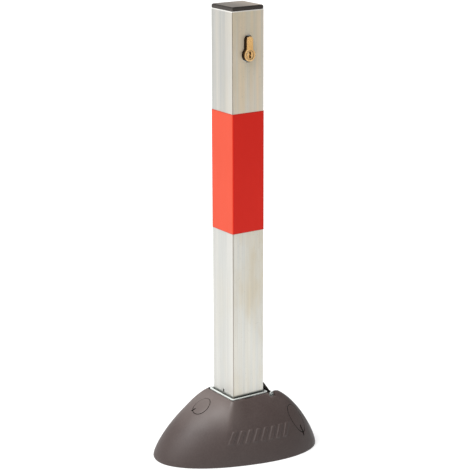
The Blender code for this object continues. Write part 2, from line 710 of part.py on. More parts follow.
def make_bolt(side, sign):
    """A bolt forked around the spreader plate, with the cross pin that follows its slot."""
    inner, outer = sorted((sign * BOLT_INNER, sign * BOLT_OUTER))
    bolt = box(f"latch_bolt_{side}", (inner, -BOLT_HALF_WIDTH, BOLT_Z - BOLT_HALF_HEIGHT),
               (outer, BOLT_HALF_WIDTH, BOLT_Z + BOLT_HALF_HEIGHT), STEEL)
    fork = SPREADER_HALF_THICK + GAP
    start, end = sorted((0.0, sign * 0.0184))
    cut(bolt, box(f"bolt_fork_{side}", (start, -fork, BOLT_Z - 0.01), (end, fork, BOLT_Z + 0.01)))
    place = (sign * BOLT_PIN_X, BOLT_Z)
    bore = circle(BOLT_PIN_RADIUS + GAP, place)
    cut(bolt, prism(f"bolt_bore_{side}", bore, -0.01, 0.01, "Y"))
    half = BOLT_HALF_WIDTH - 0.0002
    pin = prism(f"latch_pin_{side}", circle(BOLT_PIN_RADIUS, place), -half, half, "Y",
                DARK_STEEL, True)
    pivot(f"bolt_{side}_slide", (sign * BOLT_PIN_X, 0, BOLT_Z), bolt, pin)


def main():
    clear_scene()
    make_cover()
    for name, anchor in ANCHORS.items():
        make_plug(name, anchor)
    make_base_plate()
    for index, (distance, direction) in enumerate(COVER_SCREWS, 1):
        make_cover_screw(index, distance, direction)
    make_socket()
    make_flap_bracket()
    make_flap()
    make_post()
    make_key_core()
    make_rod()
    make_bolt("left", -1)
    make_bolt("right", 1)


main()
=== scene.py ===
import json
from math import acos, atan2, cos, hypot, pi, radians, sin, sqrt

import bmesh
import bpy
from mathutils import Matrix, Vector
from mathutils.geometry import delaunay_2d_cdt

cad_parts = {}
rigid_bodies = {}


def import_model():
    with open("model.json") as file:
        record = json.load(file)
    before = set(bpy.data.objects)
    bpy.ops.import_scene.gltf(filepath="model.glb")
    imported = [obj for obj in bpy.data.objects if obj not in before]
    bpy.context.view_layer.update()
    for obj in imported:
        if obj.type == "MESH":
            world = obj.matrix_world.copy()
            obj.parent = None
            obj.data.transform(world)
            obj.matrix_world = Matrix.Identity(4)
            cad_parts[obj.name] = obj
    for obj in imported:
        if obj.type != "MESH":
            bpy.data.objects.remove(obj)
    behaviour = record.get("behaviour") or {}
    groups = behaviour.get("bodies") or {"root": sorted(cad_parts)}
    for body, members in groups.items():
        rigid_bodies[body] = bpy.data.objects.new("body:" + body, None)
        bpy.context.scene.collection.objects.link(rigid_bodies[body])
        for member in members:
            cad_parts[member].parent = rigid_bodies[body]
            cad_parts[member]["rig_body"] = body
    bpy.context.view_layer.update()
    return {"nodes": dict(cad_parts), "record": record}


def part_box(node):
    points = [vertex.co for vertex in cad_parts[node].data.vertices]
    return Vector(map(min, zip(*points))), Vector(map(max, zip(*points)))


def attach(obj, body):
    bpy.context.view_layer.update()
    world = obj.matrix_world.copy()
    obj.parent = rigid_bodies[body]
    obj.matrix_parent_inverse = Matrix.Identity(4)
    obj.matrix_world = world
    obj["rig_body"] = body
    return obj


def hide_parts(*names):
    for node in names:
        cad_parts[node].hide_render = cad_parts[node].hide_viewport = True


# Visual model of a removable steel bollard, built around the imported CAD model. What shows gets
# a finer mesh. What is hidden in the tube and under the cover stays as CAD nodes.

# ---- Sizes, in metres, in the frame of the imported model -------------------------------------
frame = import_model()

GAP = 0.0003                    # air between pieces that touch on the real object
SOCKET_TOP = 0.087              # height of the cover's rim
POST_TOP = 0.619
TUBE = 0.050
TUBE_WALL = 0.002
TUBE_CORNER = 0.0013
TUBE_INNER_CORNER = 0.0005
SOCKET = 0.060
SOCKET_WALL = 0.003
SOCKET_CORNER = 0.0045
CAP_CHAMFER = 0.0013

# Cut-outs in the post's foot and in the socket.
BOLT_Z = 0.034
TUBE_WINDOW = (0.0063, 0.0053)      # half width and half height
SOCKET_WINDOW = (0.0068, 0.0058)
SCREW_HOLE_Z = BOLT_Z + 0.0085
SCREW_HOLE_RADIUS = 0.0027
SLOT_LOW = SOCKET_TOP + 0.0020
SLOT_HIGH = SOCKET_TOP + 0.0068
SLOT_HALF_WIDTH = 0.0017

# The cover: two half superellipses about the post's axis, turned about Z, under a cubic wall.
COVER_TURN = radians(-15.5)
COVER_LEFT = 0.1226
COVER_RIGHT = 0.1116
COVER_HALF_WIDTH = 0.0638
COVER_POWER = 2.2
COVER_TRIM = 0.0002             # keeps the smooth wall within the faceted wall of the model
COVER_WALL = 0.003
COVER_FOOT = 0.0004
COVER_BULGE = 0.002
COVER_BULGE_HEIGHT = 0.009
COVER_SHOULDER_REACH = 0.63
COVER_SHOULDER_HEIGHT = 0.80
OPENING_HALF = 0.0306
OPENING_FLAP_SIDE = 0.0442
RIM_HALF = 0.0318
RIM_FLAP_SIDE = 0.0494
# Over this width the rim's deck is painted dark as shade, outwards from the opening.
DECK_WIDTH = 0.0018             # dark part of the rim, outwards from the opening
SAG_DEPTH = 0.016               # how deep the rim sags beside the flap
SAG_START = radians(-46)
SAG_RUN_IN = radians(47)
SAG_END = radians(45)
SAG_RUN_OUT = radians(25)

# Plugs: (x, y, downhill direction, half length downhill, half width, place of the notch).
ANCHORS = {
    "plug_left": (-0.0577, 0.0058, radians(180), 0.0120, 0.0120, radians(-30)),
    "plug_front": (0.0616, -0.0521, radians(-102), 0.0074, 0.0124, radians(40)),
    "plug_rear": (0.0808, 0.0129, radians(30), 0.0080, 0.0124, radians(0)),
}
PLUG_STEPS = 64
PLUG_WALL = 0.0016
PLUG_DEPTH = 0.006
NOTCH_LENGTH = 0.0040
NOTCH_WIDTH = 0.0020

# Plain slanted bars moulded on the cover's front: places along X of their feet.
BAR_COUNT = 8
BAR_FIRST_X = -0.0480
BAR_PITCH = 0.0114
BAR_WIDTH = 0.0056
BAR_LOW_Z = 0.0315
BAR_HIGH_Z = 0.0480
BAR_SLANT = 0.0085              # how far the top of a bar lies to the right of its foot
BAR_LEAN = BAR_SLANT / (BAR_HIGH_Z - BAR_LOW_Z)
BAR_RISE = 0.0007
BAR_EDGE = 0.0022               # about the longest edge in a bar's outline

LOCK_Z = POST_TOP - 0.058
LOCK_ROUND = 0.0085
LOCK_STEM = 0.005
LOCK_TOP = LOCK_Z + 0.0245
LOCK_PROUD = 0.0045
LOCK_LENGTH = 0.0245
LOCK_CUT_MARGIN = 0.0015
CORE_RADIUS = 0.0062
KEYWAY_HALF_WIDTH = 0.0014
KEYWAY_HALF_HEIGHT = 0.00425
LOCK_SCREW_Y = -0.014
LOCK_SCREW_RADIUS = 0.0026

CAMERA_PLACE = (-1.203, -1.793, 0.9146)
CAMERA_LENS = 126.5
CAMERA_TURN = radians(-33.75)
CAMERA_TILT = radians(-15.62)
CAMERA_ROLL = radians(-0.19)


# ---- Mesh helpers ---------------------------------------------------------------------------
SHARP = 35.0                    # degrees between two faces from which their edge is crisp


def finish_mesh(name, bm, sharp=SHARP):
    """Turn a bmesh into a smooth shaded object whose edges over `sharp` degrees stay crisp."""
    bmesh.ops.recalc_face_normals(bm, faces=bm.faces)
    mesh = bpy.data.meshes.new(name)
    bm.to_mesh(mesh)
    bm.free()
    mesh.shade_smooth()
    mesh.set_sharp_from_angle(angle=radians(sharp))
    item = bpy.data.objects.new(name, mesh)
    bpy.context.scene.collection.objects.link(item)
    return item


def stitch(bm, loop, other):
    """Join two closed loops of as many vertices with quads."""
    for index in range(len(loop)):
        after = (index + 1) % len(loop)
        bm.faces.new((loop[index], loop[after], other[after], other[index]))


def loft(name, loops, closed=False, sharp=SHARP):
    """Skin a list of point loops. It is capped at both ends unless it closes on itself."""
    bm = bmesh.new()
    rings = [[bm.verts.new(point) for point in loop] for loop in loops]
    for here, there in zip(rings, rings[1:]):
        stitch(bm, here, there)
    if closed:
        stitch(bm, rings[-1], rings[0])
    else:
        bm.faces.new(rings[0])
        bm.faces.new(rings[-1])
    return finish_mesh(name, bm, sharp)


def circle(radius, center=(0.0, 0.0), steps=48):
    turns = [2 * pi * index / steps for index in range(steps)]
    return [(center[0] + radius * cos(a), center[1] + radius * sin(a)) for a in turns]


def arc(center, radius, start, end, steps):
    turns = [start + (end - start) * index / steps for index in range(steps + 1)]
    return [(center[0] + radius * cos(a), center[1] + radius * sin(a)) for a in turns]


def rounded_rect(x_low, x_high, y_low, y_high, radius, steps=6):
    corners = (
        (x_high - radius, y_low + radius, -pi / 2),
        (x_high - radius, y_high - radius, 0.0),
        (x_low + radius, y_high - radius, pi / 2),
        (x_low + radius, y_low + radius, pi),
    )
    outline = []
    for x, y, start in corners:
        outline += arc((x, y), radius, start, start + pi / 2, steps)
    return outline


def square(half, radius, steps=8):
    return rounded_rect(-half, half, -half, half, max(radius, 0.0002), steps)


AXES = {
    "X": Matrix(((0, 0, 1), (1, 0, 0), (0, 1, 0))),
    "Y": Matrix(((1, 0, 0), (0, 0, 1), (0, 1, 0))),
    "Z": Matrix.Identity(3),
}


def prism(name, outline, low, high, axis="Z", bevel=0.0):
    """An outline swept along an axis, with rounded edges when a bevel width is given."""
    turn = AXES[axis]
    loops = [[turn @ Vector((u, v, place)) for u, v in outline] for place in (low, high)]
    item = loft(name, loops)
    if bevel:
        soften(item, bevel)
    return item


def soften(item, width, segments=3, angle=40.0):
    """Round every edge sharper than `angle` degrees."""
    step = item.modifiers.new("soften", "BEVEL")
    step.width = width
    step.segments = segments
    step.limit_method = "ANGLE"
    step.angle_limit = radians(angle)
    step.use_clamp_overlap = True
    apply_modifiers(item)


def carve(item, *tools):
    """Cut tools out of an object, and remove the tools."""
    for tool in tools:
        step = item.modifiers.new(tool.name, "BOOLEAN")
        step.operation = "DIFFERENCE"
        step.object = tool
    apply_modifiers(item)
    for tool in tools:
        bpy.data.objects.remove(tool)


def apply_modifiers(item):
    graph = bpy.context.evaluated_depsgraph_get()
    mesh = bpy.data.meshes.new_from_object(item.evaluated_get(graph))
    item.modifiers.clear()
    item.data = mesh
    mesh.shade_smooth()
    mesh.set_sharp_from_angle(angle=radians(SHARP))


def even_normals(item):
    """Let the large faces set the shading, so that they look flat next to rounded edges."""
    step = item.modifiers.new("even_normals", "WEIGHTED_NORMAL")
    step.keep_sharp = True
    step.weight = 90


def box(name, low, high):
    outline = [(low[0], low[1]), (high[0], low[1]), (high[0], high[1]), (low[0], high[1])]
    return prism(name, outline, low[2], high[2])


# ---- Node helpers ---------------------------------------------------------------------------
class Look:
    """A node material that is being put together."""

    def __init__(self, name, color, roughness, metallic=0.0, **constants):
        self.material = bpy.data.materials.new(name)
        self.material.use_nodes = True
        self.tree = self.material.node_tree
        self.shader = self.tree.nodes["Principled BSDF"]
        self.shader.inputs["Base Color"].default_value = (*color, 1.0)
        self.shader.inputs["Roughness"].default_value = roughness
        self.shader.inputs["Metallic"].default_value = metallic
        for socket, value in constants.items():
            self.shader.inputs[socket.replace("_", " ")].default_value = value
        self.place = self.node("ShaderNodeTexCoord").outputs["Object"]

    def node(self, kind, **settings):
        made = self.tree.nodes.new(kind)
        for key, value in settings.items():
            setattr(made, key, value)
        return made

    def feed(self, socket, value):
        if isinstance(value, (int, float, tuple)):
            socket.default_value = value
        else:
            self.tree.links.new(value, socket)

    def noise(self, scale, detail=3.0, rough=0.55, stretch=(1, 1, 1), shift=0.0):
        """Noise from 0 to 1. Its size is about 1/scale metres, times 1/stretch on each axis."""
        mapping = self.node("ShaderNodeMapping")
        mapping.inputs["Scale"].default_value = stretch
        mapping.inputs["Location"].default_value = (shift, shift, shift)
        self.feed(mapping.inputs["Vector"], self.place)
        made = self.node("ShaderNodeTexNoise")
        made.inputs["Scale"].default_value = scale
        made.inputs["Detail"].default_value = detail
        made.inputs["Roughness"].default_value = rough
        self.feed(made.inputs["Vector"], mapping.outputs[0])
        return made.outputs["Fac"]

    def range(self, value, low, high, to_low=0.0, to_high=1.0, smooth=False):
        """A value moved from one range to another, and kept within it."""
        made = self.node("ShaderNodeMapRange")
        made.interpolation_type = "SMOOTHSTEP" if smooth else "LINEAR"
        for socket, number in zip(("From Min", "From Max", "To Min", "To Max"),
                                  (low, high, to_low, to_high)):
            made.inputs[socket].default_value = number
        self.feed(made.inputs["Value"], value)
        return made.outputs["Result"]

    def math(self, operation, one, two=0.5):
        """Blender's math node. An operation on one value ignores the second."""
        made = self.node("ShaderNodeMath", operation=operation)
        self.feed(made.inputs[0], one)
        self.feed(made.inputs[1], two)
        return made.outputs[0]

    def mix(self, share, one, two):
        """One colour for a share of 0, the other for a share of 1."""
        made = self.node("ShaderNodeMix", data_type="RGBA")
        self.feed(made.inputs["Factor"], share)
        for socket, value in ((made.inputs[6], one), (made.inputs[7], two)):
            self.feed(socket, (*value, 1.0) if isinstance(value, tuple) else value)
        return made.outputs[2]

    def axis(self, letter):
        split = self.node("ShaderNodeSeparateXYZ")
        self.feed(split.inputs[0], self.place)
        return split.outputs[letter]

    def facing(self, letter, low, high):
        """0 to 1 with one component of the surface's own normal."""
        split = self.node("ShaderNodeSeparateXYZ")
        normal = self.node("ShaderNodeTexCoord").outputs["Normal"]
        self.feed(split.inputs[0], normal)
        return self.range(split.outputs[letter], low, high)

    def bump(self, height, distance, strength=1.0, under=None):
        made = self.node("ShaderNodeBump")
        made.inputs["Distance"].default_value = distance
        made.inputs["Strength"].default_value = strength
        self.feed(made.inputs["Height"], height)
        if under:
            self.feed(made.inputs["Normal"], under)
        return made.outputs["Normal"]

    def edges(self, reach=0.5, width=0.08):
        """1 on outward edges and 0 on flats, from how sharply the surface turns."""
        point = self.node("ShaderNodeNewGeometry").outputs["Pointiness"]
        return self.range(point, reach, reach + width)

    def color(self, value):
        self.feed(self.shader.inputs["Base Color"], value)

    def roughness(self, value):
        self.feed(self.shader.inputs["Roughness"], value)

    def normal(self, value):
        self.feed(self.shader.inputs["Normal"], value)


# ---- Materials ------------------------------------------------------------------------------
def zinc_tube():
    """Zinc-plated drawn tube: lengthwise streaks, faint yellow blotches and specks.

    Painted light: the lock's side is warmer than the others and each side is lighter low down;
    the foot has a painted dark line where the rim shades it.
    """
    look = Look("zinc_tube", (0.6, 0.6, 0.57), 0.42, 0.6)
    blotch = look.noise(22, 5, 0.6, (1, 1, 0.35), 3.0)
    stripe = look.noise(34, 3, 0.5, (4, 4, 0.05), 11.0)
    streak = look.noise(60, 4, 0.6, (6, 6, 0.12), 7.0)
    fine = look.noise(260, 3, 0.6, (5, 5, 0.06), 1.0)
    # Painted light: each side, and its upper and lower part, gets a tone of its own for how light
    # falls on it.
    front = look.facing("Y", -0.5, -0.9)
    high = look.range(look.axis("Z"), 0.30, 0.52)
    striped = look.range(stripe, 0.4, 0.6)
    side_upper = look.mix(striped, (0.44, 0.445, 0.425), (0.54, 0.52, 0.475))
    side_lower = look.mix(striped, (0.54, 0.545, 0.52), (0.60, 0.595, 0.56))
    upper = look.mix(striped, (0.84, 0.70, 0.51), (0.72, 0.70, 0.63))
    lower = look.mix(striped, (0.76, 0.745, 0.675), (0.72, 0.725, 0.685))
    side = look.mix(high, side_lower, side_upper)
    # Painted highlight: the sides are lighter towards their corner with the lock's side.
    near = look.range(look.axis("Y"), -0.010, -0.020, 0.0, 0.35)
    side = look.mix(near, side, (0.66, 0.65, 0.61))
    base = look.mix(front, side, look.mix(high, lower, upper))
    warm = look.range(blotch, 0.46, 0.66)
    base = look.mix(look.math("MULTIPLY", warm, look.range(front, 0, 1, 0.2, 0.7)), base,
                    (0.70, 0.62, 0.46))
    base = look.mix(look.range(streak, 0.35, 0.65, 0.0, 0.2), base, (0.47, 0.46, 0.43))
    base = look.mix(look.range(fine, 0.55, 0.75, 0.0, 0.2), base, (0.80, 0.79, 0.76))
    speck = look.range(look.noise(420, 1, 0.5, (1, 1, 1), 5.0), 0.68, 0.74, 0.0, 0.2)
    base = look.mix(speck, base, (0.42, 0.40, 0.36))
    # Painted shade: the dark line at the foot, level with the rim, where the rim shades it.
    foot = look.range(look.axis("Z"), SOCKET_TOP + 0.0018, SOCKET_TOP + 0.0042, 0.92, 0.0)
    foot = look.math("MULTIPLY", foot, look.range(front, 0, 1, 0.75, 1.0))
    under = look.range(look.axis("Z"), SOCKET_TOP - 0.005, SOCKET_TOP - 0.002)
    foot = look.math("MULTIPLY", foot, under)
    base = look.mix(foot, base, (0.035, 0.045, 0.038))
    # Painted shade: the rounded corner between -X and -Y is darker than both its sides.
    turn = look.math("MULTIPLY", look.facing("X", -0.1, -0.3), look.facing("Y", -0.25, -0.6))
    base = look.mix(look.range(turn, 0, 1, 0.0, 0.75), base, (0.20, 0.16, 0.12))
    # Painted shade: cut edges and the inside are dark. Painted highlight: the top end is bright.
    reach = look.math("MAXIMUM", look.math("ABSOLUTE", look.axis("X")),
                      look.math("ABSOLUTE", look.axis("Y")))
    base = look.mix(look.range(reach, 0.0242, 0.0236), base, (0.03, 0.028, 0.025))
    top = look.range(look.axis("Z"), POST_TOP - 0.0018, POST_TOP - 0.0008, 0.0, 0.8)
    look.color(look.mix(top, base, (0.95, 0.93, 0.89)))
    rough = look.range(streak, 0.3, 0.7, 0.38, 0.50)
    look.roughness(look.math("ADD", rough, look.range(blotch, 0.3, 0.7, -0.04, 0.10)))
    look.normal(look.bump(fine, 0.00004, 0.6, look.bump(blotch, 0.0003, 0.25)))
    return look.material


def bright_zinc():
    """Bright plated sheet and pins, with fine scratches."""
    color = (0.93, 0.97, 0.94)
    look = Look("bright_zinc", color, 0.34, 0.55)
    cloud = look.noise(90, 4, 0.6)
    scratch = look.noise(300, 3, 0.6, (1, 8, 8), 2.0)
    base = look.mix(look.range(cloud, 0.4, 0.65, 0.0, 0.3), color, (0.66, 0.70, 0.67))
    look.color(look.mix(look.range(scratch, 0.6, 0.7, 0.0, 0.3), base, (0.95, 0.96, 0.95)))
    look.roughness(look.range(cloud, 0.3, 0.7, 0.28, 0.42))
    look.normal(look.bump(scratch, 0.00004, 0.5))
    return look.material


def dark_steel():
    """Oiled black steel of the inner drive and the screws."""
    look = Look("dark_steel", (0.22, 0.22, 0.23), 0.4, 1.0)
    cloud = look.noise(140, 4, 0.6)
    base = look.mix(cloud, (0.16, 0.16, 0.17), (0.30, 0.29, 0.28))
    look.color(look.mix(look.edges(0.52, 0.08), base, (0.55, 0.54, 0.52)))
    look.roughness(look.range(cloud, 0.3, 0.7, 0.3, 0.5))
    look.normal(look.bump(cloud, 0.00005, 0.4))
    return look.material


def brass(name="lock_brass", tone=(1.0, 0.58, 0.20)):
    """Satin brass with turning marks and a little tarnish, and painted shade on all but its front.
    """
    look = Look(name, tone, 0.30, 0.65)
    cloud = look.noise(160, 4, 0.6, (1, 1, 1), 4.0)
    lines = look.noise(500, 3, 0.6, (0.2, 1, 3), 1.0)
    base = look.mix(look.range(cloud, 0.45, 0.7, 0.0, 0.4), tone, (0.70, 0.36, 0.11))
    base = look.mix(look.edges(0.52, 0.06), base, (1.0, 0.74, 0.42))
    # Painted shade: every face but the front is dark.
    look.color(look.mix(look.facing("Y", -0.75, -0.35), base, (0.07, 0.035, 0.012)))
    look.roughness(look.range(cloud, 0.3, 0.7, 0.2, 0.36))
    look.normal(look.bump(lines, 0.00004, 0.5))
    return look.material


def cover_plastic():
    """Moulded plastic with a fine matt grain, flow clouds and rubbed edges.

    Painted shade makes it darker near the ground and where it faces +X, and painted light
    makes it lighter high up on the -X side.
    """
    look = Look("cover_plastic", (0.09, 0.075, 0.07), 0.5, 0.0, Specular_IOR_Level=0.4)
    cloud = look.noise(14, 4, 0.55, (1, 1, 1.4), 2.0)
    flow = look.noise(45, 4, 0.6, (1, 1, 0.5), 9.0)
    grain = look.noise(1500, 2, 0.5)
    mottle = look.noise(420, 2, 0.6, (1, 1, 1), 4.0)
    base = look.mix(cloud, (0.067, 0.047, 0.043), (0.082, 0.060, 0.055))
    base = look.mix(look.range(flow, 0.45, 0.75, 0.0, 0.25), base, (0.110, 0.084, 0.077))
    base = look.mix(look.range(mottle, 0.35, 0.65, 0.0, 0.34), base, (0.042, 0.027, 0.025))
    rub = look.math("MULTIPLY", look.edges(0.51, 0.06), look.range(flow, 0.35, 0.6))
    base = look.mix(look.range(rub, 0, 1, 0.0, 0.45), base, (0.19, 0.160, 0.145))
    # Painted shade: darker towards the ground.
    level = look.range(look.axis("Z"), 0.0, 0.085, 0.5, 0.0)
    base = look.mix(level, base, (0.030, 0.021, 0.019))
    # Painted light: lighter high up on the -X side, where the key light falls.
    left = look.math("MULTIPLY", look.range(look.axis("X"), -0.016, -0.042),
                     look.range(look.axis("Z"), 0.046, 0.086))
    base = look.mix(look.range(left, 0, 1, 0.0, 0.80), base, (0.150, 0.123, 0.113))
    # Painted shade: darker where it faces +X, away from the light.
    look.color(look.mix(look.facing("X", 0.3, 0.9), base, (0.034, 0.023, 0.020)))
    look.roughness(look.range(flow, 0.3, 0.7, 0.44, 0.56))
    look.normal(look.bump(grain, 0.00008, 0.55, look.bump(cloud, 0.0008, 0.12)))
    return look.material


def gap_shade_plastic():
    """Near-black plastic for the gaps and their edges: painted shade, to make the thin gaps read as
    dark.
    """
    look = Look("gap_shade_plastic", (0.010, 0.008, 0.007), 0.8, 0.0, Specular_IOR_Level=0.15)
    cloud = look.noise(300, 3, 0.6)
    look.color(look.mix(cloud, (0.006, 0.005, 0.004), (0.018, 0.014, 0.012)))
    look.normal(look.bump(cloud, 0.0001, 0.4))
    return look.material


def black_plastic():
    """Black moulded plastic of the cap and flap, with a painted sheen that makes what faces
    straight up much paler.
    """
    look = Look("black_plastic", (0.02, 0.02, 0.02), 0.40, 0.0, Specular_IOR_Level=0.24)
    cloud = look.noise(70, 4, 0.6)
    grain = look.noise(1300, 2, 0.5)
    base = look.mix(cloud, (0.010, 0.007, 0.006), (0.022, 0.017, 0.014))
    # Painted highlight: the edges are lighter.
    base = look.mix(look.edges(0.52, 0.08), base, (0.10, 0.085, 0.075))
    # Painted sheen on what faces straight up, with a painted highlight towards +X.
    pale = look.mix(look.range(cloud, 0.35, 0.65), (0.09, 0.073, 0.060), (0.15, 0.125, 0.103))
    pale = look.mix(look.range(look.axis("X"), -0.01, 0.02), pale, (0.26, 0.215, 0.17))
    look.color(look.mix(look.facing("Z", 0.9, 0.99), base, pale))
    look.roughness(look.range(cloud, 0.3, 0.7, 0.34, 0.48))
    look.normal(look.bump(grain, 0.00008, 0.5))
    return look.material


def red_film():
    """Semi-gloss red film that follows the tube's drawing marks a little, more orange on -X as
    painted light.
    """
    look = Look("red_film", (0.62, 0.03, 0.015), 0.42, 0.0, Specular_IOR_Level=0.18)
    cloud = look.noise(18, 3, 0.5, (1, 1, 0.5), 6.0)
    lines = look.noise(90, 3, 0.6, (4, 4, 0.1), 8.0)
    base = look.mix(cloud, (0.64, 0.012, 0.005), (0.70, 0.017, 0.007))
    orange = look.mix(cloud, (0.60, 0.062, 0.026), (0.66, 0.074, 0.034))
    # Painted light: the faces towards -X are more orange, where the light falls.
    base = look.mix(look.facing("X", -0.5, -0.9), base, orange)
    low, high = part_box("red_band")
    top = look.range(look.axis("Z"), high.z - 0.0012, high.z - 0.0003)
    bottom = look.range(look.axis("Z"), low.z + 0.0012, low.z + 0.0003)
    edge = look.math("MAXIMUM", top, bottom)
    look.color(look.mix(look.range(edge, 0, 1, 0, 0.5), base, (0.30, 0.02, 0.012)))
    look.roughness(look.range(lines, 0.3, 0.7, 0.36, 0.48))
    look.normal(look.bump(lines, 0.00006, 0.35))
    return look.material


def rubber():
    """Dull black rubber of the buffer."""
    look = Look("buffer_rubber", (0.02, 0.02, 0.02), 0.8)
    cloud = look.noise(200, 4, 0.6)
    look.color(look.mix(cloud, (0.014, 0.014, 0.014), (0.035, 0.034, 0.033)))
    look.roughness(look.range(cloud, 0.3, 0.7, 0.7, 0.9))
    look.normal(look.bump(cloud, 0.0002, 0.5))
    return look.material


# ---- The cover's surface --------------------------------------------------------------------
def footprint_radius(angle):
    """Distance from the axis to the cover's outline on the ground."""
    turned = angle - COVER_TURN
    length = COVER_RIGHT if cos(turned) > 0 else COVER_LEFT
    total = (abs(cos(turned) / length) ** COVER_POWER
             + abs(sin(turned) / COVER_HALF_WIDTH) ** COVER_POWER)
    return total ** (-1 / COVER_POWER) - COVER_TRIM


def rect_radius(angle, flap_side, half, flap_corner, corner):
    """Distance from the axis to a rounded rectangle that reaches further on +X."""
    across, along = abs(cos(angle)), abs(sin(angle))
    reach, radius = (flap_side, flap_corner) if cos(angle) > 0 else (half, corner)
    distance = min(reach / max(across, 1e-9), half / max(along, 1e-9))
    x, y = reach - radius, half - radius
    if distance * across > x and distance * along > y:
        middle = x * across + y * along
        distance = middle + sqrt(max(middle ** 2 - x ** 2 - y ** 2 + radius ** 2, 0.0))
    return distance


def opening_radius(angle):
    return rect_radius(angle, OPENING_FLAP_SIDE, OPENING_HALF, 0.0035, 0.0035)


def rim_radius(angle):
    return rect_radius(angle, RIM_FLAP_SIDE, RIM_HALF, 0.010, 0.0045)


def rim_height(angle):
    """Height of the rim. It sags on the flap's side, so that the flap can fold outwards."""
    angle = (angle + pi) % (2 * pi) - pi
    down = smooth_step((angle - SAG_START) / SAG_RUN_IN) ** 1.5
    up = smooth_step((SAG_END - angle) / SAG_RUN_OUT)
    return SOCKET_TOP - SAG_DEPTH * down * up


def smooth_step(share):
    share = max(0.0, min(1.0, share))
    return share * share * (3 - 2 * share)


def cover_profile(angle, share, inset=0.0):
    """Radius and height on the cover's wall, from the ground (share 0) to the rim (share 1)."""
    foot = footprint_radius(angle)
    rim = rim_radius(angle)
    top = rim_height(angle)
    controls = (
        (foot - inset, COVER_FOOT),
        (foot + COVER_BULGE - inset, COVER_BULGE_HEIGHT),
        (rim + (foot - rim) * COVER_SHOULDER_REACH - 0.8 * inset,
         top * COVER_SHOULDER_HEIGHT - 0.8 * inset),
        (max(rim - 0.5 * inset, opening_radius(angle) + GAP), top - inset),
    )
    rest = 1 - share
    weights = (rest ** 3, 3 * share * rest ** 2, 3 * share ** 2 * rest, share ** 3)
    return tuple(sum(w * point[axis] for w, point in zip(weights, controls)) for axis in (0, 1))


def cover_point(angle, share, inset=0.0):
    radius, height = cover_profile(angle, share, inset)
    return Vector((radius * cos(angle), radius * sin(angle), height))


def cover_normal(angle, share):
    step = 0.001
    along = cover_point(angle + step, share) - cover_point(angle - step, share)
    low, high = max(share - step, 0.0), min(share + step, 1.0)
    return along.cross(cover_point(angle, high) - cover_point(angle, low)).normalized()


def share_where(angle, axis, value, inset=0.0):
    """Share of the wall at a radius (axis 0) or a height (axis 1), in one direction."""
    low, high = 0.0, 1.0
    for _ in range(24):
        middle = (low + high) / 2
        found = cover_profile(angle, middle, inset)[axis]
        if (found > value) == (axis == 0):
            low = middle
        else:
            high = middle
    return low


def cover_height(x, y):
    """Height of the cover's outer face above a point between its rim and its footprint."""
    angle = atan2(y, x)
    return cover_profile(angle, share_where(angle, 0, hypot(x, y)))[1]


def front_place(x, z):
    """Direction and share of the point on the cover's front that has this x and this height."""
    angle = -pi / 2
    for _ in range(12):
        share = share_where(angle, 1, z)
        angle = -acos(max(-1.0, min(1.0, x / cover_profile(angle, share)[0])))
    return angle, share


# ---- The cover's mesh -----------------------------------------------------------------------
SEAM = radians(100)             # direction where the wall's flat map is cut open
MAP_WIDTH = 0.085               # metres of flat map for a radian
MAP_HEIGHT = 0.105              # metres of flat map from the ground to the rim


def map_place(angle, share):
    """Where a point of the wall lies on the flat map."""
    return Vector((((angle - SEAM) % (2 * pi)) * MAP_WIDTH, share * MAP_HEIGHT))


def plug_outline(anchor, grow=0.0, share=1.0):
    """Outline of a plug seen from above. It grows less downhill, where the cover is steep."""
    x, y, downhill, length, width, _ = anchor
    outline = []
    for along, across in circle(1.0, steps=PLUG_STEPS):
        along *= length * share + grow * length / width
        across *= width * share + grow
        outline.append((x + along * cos(downhill) - across * sin(downhill),
                        y + along * sin(downhill) + across * cos(downhill)))
    return outline


def bar_outline(index, grow):
    """Outline (x, height) of a slanted bar with rounded corners, grown by a distance."""
    left = BAR_FIRST_X + index * BAR_PITCH
    low, high = BAR_LOW_Z - grow, BAR_HIGH_Z + grow
    radius = 0.0009 + max(grow, -0.0006)
    outline = rounded_rect(left - grow, left + BAR_WIDTH + grow, low, high, radius, 4)
    edge = []
    for here, there in zip(outline, outline[1:] + outline[:1]):
        count = max(1, round(hypot(there[0] - here[0], there[1] - here[1]) / BAR_EDGE))
        edge += [(here[0] + (there[0] - here[0]) * part / count,
                  here[1] + (there[1] - here[1]) * part / count) for part in range(count)]
    return [(x + (z - BAR_LOW_Z) * BAR_LEAN, z) for x, z in edge]


def cover_angles():
    """Even directions from the seam, with extra ones at the corners of the rim."""
    angles = [SEAM + 2 * pi * index / 240 for index in range(240)]
    for x, y in ((RIM_FLAP_SIDE, RIM_HALF), (-RIM_HALF, RIM_HALF)):
        for side in (1, -1):
            corner = atan2(side * y, x)
            reach = radians(9 if x > 0 else 6)
            angles += [corner + reach * (step - 6.5) / 7 for step in range(14)]
    return sorted(SEAM + (angle - SEAM) % (2 * pi) for angle in angles)


